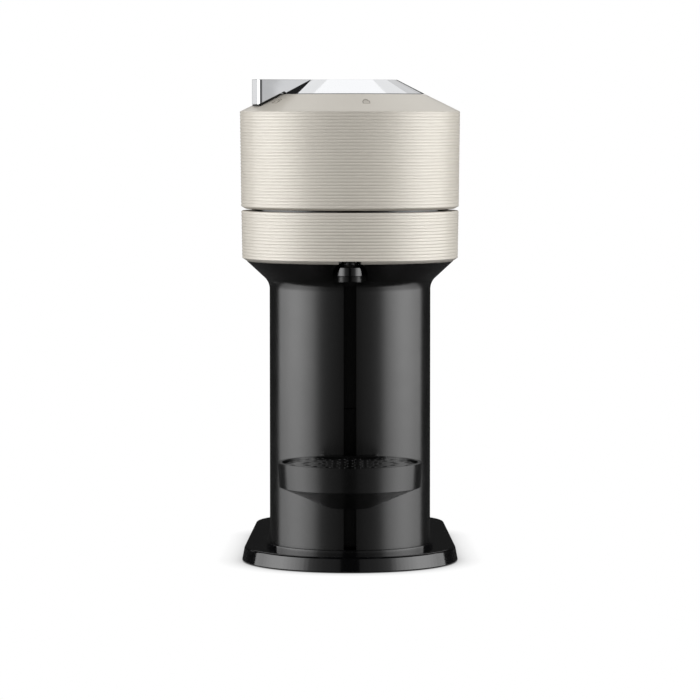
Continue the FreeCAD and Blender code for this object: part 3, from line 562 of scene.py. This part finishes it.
def makeUpperDrum():
    low, high = sizeOf("head_shell")
    foot, top, radius = low[2], high[2], high[0]
    edge, shoulder = foot + upperDrum["edge"], top - upperDrum["coneHigh"]
    narrow = radius - upperDrum["taper"]
    bend = upperDrum["round"]

    def radiusAt(height):
        return narrow + upperDrum["taper"] * (height - edge) / (shoulder - bend - edge)

    lip, lipRadius, wall = foot + upperDrum["gap"], radius - upperDrum["lipInset"], upperDrum["wall"]
    inner, coneRadius, edgeRound = radius - upperDrum["skin"], upperDrum["coneRadius"], upperDrum["edgeRound"]
    section = [(lipRadius - wall, lip), (lipRadius, lip)]
    section += arcPoints(narrow - edgeRound, edge + upperDrum["edgeRise"], edgeRound, 310, 360, 4)
    section += grooveRows(upperDrum, radiusAt, foot + upperDrum["firstRib"])
    section += arcPoints(radius - bend, shoulder - bend, bend, 0, upperDrum["coneLean"], 5)
    section += [(coneRadius + upperDrum["rimOut"], top - upperDrum["rimDown"]), (coneRadius, top),
                (coneRadius, top - wall), (inner, shoulder - wall), (inner, edge)]
    drum = turnProfile("upperDrum", section, axis, steps=upperDrum["steps"], closed=True)
    for side in (-1, 1):
        ends = sorted((side * upperDrum["armNear"], side * upperDrum["armFar"]))
        gap = cutBlock("armGap", (ends[0], upperDrum["armFront"], foot - spare),
                       (ends[1], radius + spare, foot + upperDrum["armHigh"]))
        combine(drum, gap, "DIFFERENCE")
    smooth(drum, 40)
    finishPiece(drum, sand, "head", "drum_satin", "head_shell")


lowerRing = {"ribs": 14, "pitch": 2.06, "groove": 1.0, "deep": 0.25, "firstRib": 3.0, "edge": 2.1, "gap": 0.2,
             "lipInset": 3.6, "taper": 0.5, "round": 0.8, "bore": 64, "notchHalf": 7, "notchHigh": 2,
             "steps": 160}


def makeLowerRing():
    low, high = sizeOf("lower_ring")
    foot, top, radius = low[2], high[2] - lowerRing["gap"], high[0]
    edge, bend = foot + lowerRing["edge"], lowerRing["round"]
    narrow = radius - lowerRing["taper"]

    def radiusAt(height):
        return narrow + lowerRing["taper"] * (height - edge) / (top - bend - edge)

    section = [(lowerRing["bore"], foot), (radius - lowerRing["lipInset"], foot), (narrow, edge)]
    section += grooveRows(lowerRing, radiusAt, foot + lowerRing["firstRib"])
    section += arcPoints(radius - bend, top - bend, bend, 0, 90, 5) + [(lowerRing["bore"], top)]
    ring = turnProfile("lowerRing", section, axis, steps=lowerRing["steps"], closed=True)
    notch = cutBlock("notch", (-lowerRing["notchHalf"], -radius - spare, foot - spare),
                     (lowerRing["notchHalf"], 2 * spare - lowerRing["bore"], foot + lowerRing["notchHigh"]))
    combine(ring, notch, "DIFFERENCE")
    smooth(ring, 40)
    finishPiece(ring, sand, "root", "drum_satin", "lower_ring")


lever = {"bore": 22.2, "flat": 30.4, "thick": 2.2, "foot": 48.2, "footInside": 44, "footHigh": 302.3,
         "half": 7, "reach": 65.6, "tipLow": 295.4, "rootLow": 303.7, "turned": -158, "tipRound": 2.7,
         "soften": 0.6, "bite": 2, "steps": 192}


def makeLever():
    top = sizeOf("lever_ring")[1][2]
    section = [(lever["bore"], top - lever["thick"]), (lever["bore"], top), (lever["flat"], top),
               (lever["foot"], lever["footHigh"]), (lever["footInside"], lever["footHigh"]),
               (lever["flat"], top - lever["thick"])]
    ring = turnProfile("leverRing", section, axis, steps=lever["steps"], closed=True)
    turned = math.radians(lever["turned"])
    out = Vector((math.cos(turned), math.sin(turned), 0))
    side = Vector((-out.y, out.x, 0))
    start = Vector((axisX, axisY, 0)) - side * lever["half"] * mm
    root = lever["flat"] - lever["bite"]  # the arm bites into the ring so the two join
    corners = [(root, top - 1), (root, top), (lever["reach"], top), (lever["reach"], lever["tipLow"]),
               (lever["foot"], lever["rootLow"]), (lever["foot"] - lever["bite"], lever["footHigh"] + 0.3)]
    points = [start + out * reach * mm + Vector((0, 0, height * mm)) for reach, height in corners]
    arm = pullOutline("leverArm", points, side * 2 * lever["half"] * mm)
    tip = start.dot(out) + (lever["reach"] - 0.1) * mm
    selectWhere(arm, lambda middle, run: middle.dot(out) > tip and abs(run.z) > mm, "EDGE")
    bpy.ops.mesh.bevel(offset=lever["tipRound"] * mm, segments=6, affect="EDGES")
    bpy.ops.object.mode_set(mode="OBJECT")
    combine(ring, arm, "UNION")
    softenEdges(ring, lever["soften"] * mm, 4, 20)
    smooth(ring, 30)
    finishPiece(ring, chrome, "lever", "chrome", "lever_ring")


brewButton = {"radius": 17.1, "dish": 0.8, "rim": 1.6, "round": 0.7, "skirt": 4.0, "stem": 4,
              "stemLow": 294.5}
glowRing = {"bore": 17.5, "radius": 21.8, "round": 0.4}


def makeButton():
    top, radius = sizeOf("brew_button")[1][2], brewButton["radius"]
    rim, skirt, bend = radius - brewButton["rim"], top - brewButton["skirt"], brewButton["round"]
    section = [(0, top - brewButton["dish"]), (rim * 0.5, top - brewButton["dish"] * 0.82),
               (rim * 0.85, top - brewButton["dish"] * 0.3), (rim, top)]
    section += arcPoints(radius - bend, top - bend, bend, 90, 0, 5)
    section += [(radius, skirt), (brewButton["stem"], skirt), (brewButton["stem"], brewButton["stemLow"]),
                (0, brewButton["stemLow"])]
    cap = turnProfile("brewButton", section, axis, steps=96)
    smooth(cap, 35)
    finishPiece(cap, gloss, "button", slotOf["brew_button"], "brew_button")

    low, high = sizeOf("light_guide")
    inner, outer, bend = glowRing["bore"], glowRing["radius"], glowRing["round"]
    section = [(inner, low[2]), (inner, high[2] - bend), (inner + bend, high[2]), (outer - bend, high[2]),
               (outer, high[2] - bend), (outer, low[2])]
    glow = turnProfile("glowRing", section, axis, steps=96, closed=True)
    smooth(glow, 35)
    finishPiece(glow, lens, "head", slotOf["light_guide"], "light_guide")


lockMark = {"width": 4.6, "height": 3.4, "line": 0.42, "shackle": 1.55, "raised": 0.06, "sunk": 0.25,
            "reach": 60.6, "high": 296.2, "lean": 26.5, "locked": 10, "unlocked": -53, "shutFoot": 0.8,
            "openFoot": 1.5}


def makeLockMark(name, bearing, opened):
    # a small outlined padlock: a body and a shackle, built flat and then laid on the cone
    half, tall, line = lockMark["width"] / 2, lockMark["height"], lockMark["line"]
    corners = [(-half, 0), (half, 0), (half, tall), (-half, tall)]
    body = drawLine(name, [Vector((x, y, 0)) * mm for x, y in corners])
    bpy.ops.mesh.select_all(action="SELECT")
    bpy.ops.mesh.edge_face_add()
    bpy.ops.mesh.inset(thickness=line * mm)
    bpy.ops.mesh.delete(type="FACE")
    bpy.ops.mesh.select_all(action="SELECT")
    bpy.ops.mesh.extrude_region_move(TRANSFORM_OT_translate={"value": (0, 0, mm)})
    settle(body)
    reach = lockMark["shackle"]
    foot = tall + lockMark["openFoot" if opened else "shutFoot"]
    outer = [(reach, tall)] + arcPoints(0, foot, reach, 0, 180, 12)
    inner = arcPoints(0, foot, reach - line, 180, 0, 12) + [(reach - line, tall)]
    left = [] if opened else [(-reach, tall), (-reach + line, tall)]
    bow = pullOutline(name + "Bow", [Vector((x, y, 0)) * mm for x, y in outer + left + inner], (0, 0, mm))
    mark = joinPieces(name, [body, bow])
    turned = math.radians(bearing)
    mark.scale = (1, 1, lockMark["raised"] + lockMark["sunk"])
    mark.rotation_euler = (math.radians(lockMark["lean"]), 0, turned)
    mark.location = (axisX + lockMark["reach"] * math.sin(turned) * mm,
                     axisY - lockMark["reach"] * math.cos(turned) * mm,
                     (lockMark["high"] - lockMark["sunk"]) * mm)
    makeActive(mark)
    bpy.ops.object.transform_apply(location=True, rotation=True, scale=True)
    settle(mark)
    finishPiece(mark, ink, "head", "drum_satin")


makeUpperDrum()
makeLowerRing()
makeLever()
makeButton()
makeLockMark("lockedMark", lockMark["locked"], False)
makeLockMark("unlockedMark", lockMark["unlocked"], True)
print("head, ring, lever and button made")


column = {"wall": 2.5, "bendRadius": 10, "bendLow": 176.7, "bendAngle": 47.2, "flareRadius": 66.6,
          "slotHalf": 4, "slotDeep": 48.6, "pocketRadius": 11, "pocketLow": 183, "pocketFront": -58,
          "blockTop": 192, "slotFront": -60, "soften": 0.35, "steps": 160}


def columnSolid(name, inset, low, flareTop, blockTop, back):
    # the round front with its flare, and the straight-sided rear
    high = sizeOf("column_shell")[1][2]
    radius = sizeOf("rear_deck")[1][0] - inset
    bend = column["bendRadius"] + inset
    section = [(0, low), (radius, low)]
    section += arcPoints(radius + bend, column["bendLow"], bend, 180, 180 - column["bendAngle"], 12)
    flare = column["flareRadius"] - inset
    section += [(flare, high), (flare, flareTop), (0, flareTop)]
    section = [point for i, point in enumerate(section) if point != section[i - 1]]
    solid = turnProfile(name, section, axis, steps=column["steps"])
    rear = cutBlock("rear", (-radius, 0, low), (radius, back, blockTop))
    combine(solid, rear, "UNION")
    return solid


def makeColumn():
    low, high = sizeOf("column_shell")
    back = high[1]
    shell = columnSolid("columnShell", 0, low[2], high[2], column["blockTop"], back)
    inside = columnSolid("inside", column["wall"], low[2] - spare, high[2] + spare,
                         column["blockTop"] + spare, back + spare)
    hood = cutRod("hood", column["pocketRadius"] + column["wall"], 0, column["pocketFront"],
                  column["pocketLow"] - column["wall"], high[2] + 2 * spare)
    combine(inside, hood, "DIFFERENCE")  # so the wall round the pocket stays
    combine(shell, inside, "DIFFERENCE")
    pocket = cutRod("pocket", column["pocketRadius"], 0, column["pocketFront"], column["pocketLow"],
                    high[2] + spare)
    combine(shell, pocket, "DIFFERENCE")
    slot = cutBlock("slot", (-column["slotHalf"], column["slotFront"], low[2] - spare),
                    (column["slotHalf"], -column["slotDeep"], column["pocketLow"] + spare / 2))
    combine(shell, slot, "DIFFERENCE")
    softenEdges(shell, column["soften"] * mm, 2, 38)
    smooth(shell, 36)
    finishPiece(shell, satin, "root", slotOf["column_shell"], "column_shell")


outlet = {"radius": 8.4, "bore": 3.2, "neck": 5, "edge": 2, "lip": 0.6, "lower": 2.2, "boreEase": 0.5}


def makeOutlet():
    low, high = sizeOf("coffee_outlet")
    centre = (axisX, axisY + (low[1] + high[1]) / 2 * mm)
    foot, top, radius = low[2] - outlet["lower"], sizeOf("column_shell")[1][2], outlet["radius"]
    section = [(outlet["bore"], foot + outlet["boreEase"]), (outlet["bore"] + outlet["boreEase"], foot)]
    section += arcPoints(radius - outlet["lip"], foot + outlet["lip"], outlet["lip"], 270, 360, 5)
    section += [(radius, top - outlet["edge"]), (radius - outlet["edge"], top), (outlet["neck"], top),
                (outlet["neck"], high[2]), (outlet["bore"], high[2])]
    spout = turnProfile("coffeeSpout", section, centre, steps=64, closed=True)
    smooth(spout, 35)
    finishPiece(spout, gloss, "root", slotOf["coffee_outlet"], "coffee_outlet")


base = {"radius": 70, "corner": 45, "cornerSide": 21, "cornerBack": 142, "slant": 1.7, "wall": 2.5,
        "round": 1.3, "collarRound": 0.5, "collar": 54, "collarBack": 114, "collarLow": 8, "well": 49.5,
        "wellBack": 111.5, "shoulder": 9.8, "plateTop": 3, "tailHalf": 50, "hoseHalf": 2.3}


def baseOutline(inset):
    # round in front and narrower behind, with round corners
    radius, corner = base["radius"] - inset, base["corner"] - inset
    x, y = base["cornerSide"], base["cornerBack"]
    lean = math.degrees(math.atan2(y, x) + math.asin((radius - corner) / math.hypot(x, y))) - 90
    return (arcPoints(0, 0, radius, 180 - lean, 360 + lean, 72) + arcPoints(x, y, corner, lean, 90, 24)
            + arcPoints(-x, y, corner, 90, 180 - lean, 24))


def archOutline(radius, back):
    # round in front, straight sides and a square back
    return arcPoints(0, 0, radius, 180, 360, 72) + [(radius, back), (-radius, back)]


def makeBase():
    low, high = sizeOf("base_cover")
    foot, top, shoulder = low[2], high[2], base["shoulder"]
    cover = raiseOutline("baseCover", baseOutline(0), foot, shoulder)
    halves = [(b - a) / 2 for a, b in zip(low, high)]
    centre = (axisX, axisY + (low[1] + high[1]) / 2 * mm, shoulder * mm)
    selectWhere(cover, lambda middle, run: middle.z > (shoulder - 0.01) * mm, "EDGE")
    inwards = [1 - base["slant"] / half for half in halves[:2]] + [1]
    bpy.ops.transform.resize(value=inwards, center_override=centre)
    bpy.ops.mesh.bevel(offset=base["round"] * mm, segments=5, affect="EDGES")
    bpy.ops.object.mode_set(mode="OBJECT")
    collar = raiseOutline("collar", archOutline(base["collar"], base["collarBack"]), base["collarLow"], top)
    selectWhere(collar, lambda middle, run: middle.z > (top - 0.01) * mm, "EDGE")
    bpy.ops.mesh.bevel(offset=base["collarRound"] * mm, segments=3, affect="EDGES")
    bpy.ops.object.mode_set(mode="OBJECT")
    combine(cover, collar, "UNION")
    under = raiseOutline("under", baseOutline(base["wall"]), foot - spare, shoulder - base["wall"])
    combine(cover, under, "DIFFERENCE")
    for half, bottom, ceiling in ((base["tailHalf"], foot - spare, base["plateTop"]),
                                  (base["hoseHalf"], foot, shoulder - base["wall"])):
        way = cutBlock("way", (-half, base["cornerBack"], bottom), (half, high[1] + spare, ceiling))
        combine(cover, way, "DIFFERENCE")
    well = raiseOutline("well", archOutline(base["well"], base["wellBack"]), foot + spare, top + spare)
    combine(cover, well, "DIFFERENCE")
    smooth(cover, 33)
    finishPiece(cover, gloss, "root", slotOf["base_cover"], "base_cover")


dish = {"radius": 45, "waist": 44, "waistHigh": 57.7, "back": -55.3, "armRadius": 14, "armCentre": -71,
        "bowl": 42.4, "ledge": 40.4, "ledgeLow": 70, "floor": 60.5, "wall": 2.5, "round": 0.5}


def makeDish():
    low, high = sizeOf("drip_tray")
    foot, top = low[2], high[2]
    centre = low[1] + dish["radius"]
    rings = [(dish["waist"], centre, dish["waistHigh"]), (dish["radius"], centre, top)]
    clearSelection()
    bpy.ops.mesh.primitive_circle_add(vertices=160, radius=dish["armRadius"] * mm, fill_type="NGON")
    tray = bpy.context.active_object
    tray.name = "dripTray"
    bpy.ops.object.mode_set(mode="EDIT")
    middle = Vector((axisX, axisY + dish["armCentre"] * mm, foot * mm))
    bpy.ops.transform.translate(value=middle)
    before = dish["armRadius"]
    for radius, forward, height in rings:
        there = Vector((axisX, axisY + forward * mm, height * mm))
        bpy.ops.mesh.extrude_region_move(TRANSFORM_OT_translate={"value": there - middle})
        bpy.ops.transform.resize(value=(radius / before, radius / before, 1), center_override=there)
        middle, before = there, radius
    # the flat back that meets the column
    bpy.ops.mesh.select_all(action="SELECT")
    flat = axisY + dish["back"] * mm
    bpy.ops.mesh.bisect(plane_co=(0, flat, 0), plane_no=(0, 1, 0), use_fill=True, clear_outer=True)
    settle(tray)
    for radius, floor in ((dish["bowl"], dish["ledgeLow"]), (dish["ledge"], dish["floor"])):
        hollow = cutRod("hollow", radius, 0, centre, floor, top + spare)
        hollow = squareBack(hollow, dish["back"] - dish["wall"])
        combine(tray, hollow, "DIFFERENCE")
    softenEdges(tray, dish["round"] * mm, 3, 34)
    smooth(tray, 34)
    finishPiece(tray, satin, "cup_support", slotOf["drip_tray"], "drip_tray")


def squareBack(piece, back):
    # trims a piece flat behind a given y and fills the cut
    makeActive(piece)
    bpy.ops.object.mode_set(mode="EDIT")
    bpy.ops.mesh.select_all(action="SELECT")
    bpy.ops.mesh.bisect(plane_co=(0, axisY + back * mm, 0), plane_no=(0, 1, 0), use_fill=True,
                        clear_outer=True)
    settle(piece)
    return piece


container = {"corner": 5, "wall": 2, "round": 0.7}
tank = {"corner": 6, "wall": 2.2, "round": 0.8, "hole": 4}
lid = {"corner": 6, "innerCorner": 4, "skirt": 2.6, "deep": 2.4, "hinge": 285, "round": 1.2}


def roundedBlock(half, front, back, corner):
    return (arcPoints(-half + corner, front + corner, corner, 180, 270, 8)
            + arcPoints(half - corner, front + corner, corner, 270, 360, 8)
            + arcPoints(half - corner, back - corner, corner, 0, 90, 8)
            + arcPoints(-half + corner, back - corner, corner, 90, 180, 8))


def tankOutline(half, front, centre, corner):
    return (arcPoints(-half + corner, front + corner, corner, 180, 270, 8)
            + arcPoints(half - corner, front + corner, corner, 270, 360, 8)
            + arcPoints(0, centre, half, 0, 180, 72))


def makeContainer():
    low, high = sizeOf("capsule_container")
    half, front, back, wall = high[0], low[1], high[1], container["wall"]
    bucket = raiseOutline("capsuleBin", roundedBlock(half, front, back, container["corner"]), low[2], high[2])
    inside = roundedBlock(half - wall, front + wall, back - wall, container["corner"] - wall)
    room = raiseOutline("room", inside, low[2] + wall, high[2] + spare)
    combine(bucket, room, "DIFFERENCE")
    softenEdges(bucket, container["round"] * mm, 3, 50)
    smooth(bucket, 34)
    finishPiece(bucket, satin, "container", slotOf["capsule_container"], "capsule_container")


def makeTank():
    low, high = sizeOf("tank_body")
    half, front, wall = high[0], low[1], tank["wall"]
    centre = high[1] - half
    body = raiseOutline("waterTank", tankOutline(half, front, centre, tank["corner"]), low[2], high[2])
    room = raiseOutline("room", tankOutline(half - wall, front + wall, centre, tank["corner"] - wall),
                        low[2] + wall, high[2] + spare)
    combine(body, room, "DIFFERENCE")
    socketLow, socketHigh = sizeOf("dock_seal")
    hole = cutRod("hole", tank["hole"], 0, (socketLow[1] + socketHigh[1]) / 2, low[2] - spare,
                  low[2] + wall + spare)
    combine(body, hole, "DIFFERENCE")
    softenEdges(body, tank["round"] * mm, 3, 50)
    smooth(body, 34)
    finishPiece(body, clear, "tank", slotOf["tank_body"], "tank_body")

    low, high = sizeOf("tank_lid")
    cover = raiseOutline("tankLid", tankOutline(half, front, centre, lid["corner"]), low[2], high[2])
    keep = cutBlock("keep", (-half - spare, front - spare, low[2] - spare),
                    (half + spare, lid["hinge"], high[2] + spare))
    combine(cover, keep, "INTERSECT")
    barrel = tankOutline(half, front, centre, lid["corner"])
    across = math.sqrt(half ** 2 - (lid["hinge"] - centre) ** 2)
    tall = (high[2] - low[2]) / 2
    knuckle = [Vector((axisX - across * mm, axisY + y * mm, z * mm))
               for y, z in arcPoints(lid["hinge"], low[2] + tall, tall, -90, 90, 16)]
    roll = pullOutline("roll", knuckle, Vector((2 * across * mm, 0, 0)))
    whole = raiseOutline("whole", barrel, low[2] - spare, high[2] + spare)
    combine(roll, whole, "INTERSECT")
    combine(cover, roll, "UNION")
    inside = tankOutline(half - lid["skirt"], front + lid["skirt"], centre, lid["innerCorner"])
    room = raiseOutline("room", inside, low[2] - spare, high[2] - lid["deep"])
    combine(cover, squareBack(room, lid["hinge"] - lid["skirt"] * 3), "DIFFERENCE")
    softenEdges(cover, lid["round"] * mm, 4, 50)
    smooth(cover, 34)
    finishPiece(cover, satin, "tank_lid", slotOf["tank_lid"], "tank_lid")


makeColumn()
makeOutlet()
makeBase()
makeDish()
makeContainer()
makeTank()
print("column, base, dish and tanks made")


# pieces whose shape the frame already has: a welded copy with moulded or machined edges
edgeWidths = {
    0.12: ("drip_grid",),
    0.2: ("deck_screws", "base_screws", "dock_seal", "seal_ring", "code_reader", "hinge_pins", "lever_guard"),
    0.3: ("head_liner", "piercing_plate", "water_injector", "rubber_feet", "cord_gland",
          "tank_valve", "latch_hooks", "slot_rail", "slot_rail_upper", "capsule_cage", "capsule_chute",
          "brew_deck", "coffee_collector", "lock_ring", "head_core"),
    0.5: ("base_plate", "tank_dock", "rear_panel", "rear_deck", "support_shoe", "hinge_bracket",
          "hinge_arms"),
}
# the dark lip behind the gap between the drums, painted shade for that gap
gapShadeLip = {"inner": 61.8, "outer": 63.4, "low": 226.5, "high": 229}
bodyOf = {node: body for body, group in frame["record"]["behaviour"]["bodies"].items() for node in group}


def roundCopies():
    for width, group in edgeWidths.items():
        for node in group:
            piece = cleanCopy(node, width)
            if node == "head_liner":
                # a thin lip that hangs inside the lower ring and closes the gap between the drums: a dark
                # piece put there as painted shade, so the gap reads as a dark line
                inner, outer = gapShadeLip["inner"], gapShadeLip["outer"]
                section = [(inner, gapShadeLip["low"]), (outer, gapShadeLip["low"]), (outer, gapShadeLip["high"]),
                           (inner, gapShadeLip["high"])]
                lip = turnProfile("gapShadeLip", section, axis, steps=128, closed=True)
                piece = joinPieces(piece.name, [piece, lip])
            finishPiece(piece, slotMaterials[slotOf[node]], bodyOf[node], slotOf[node], node)


roundCopies()
print("rounded copies made")
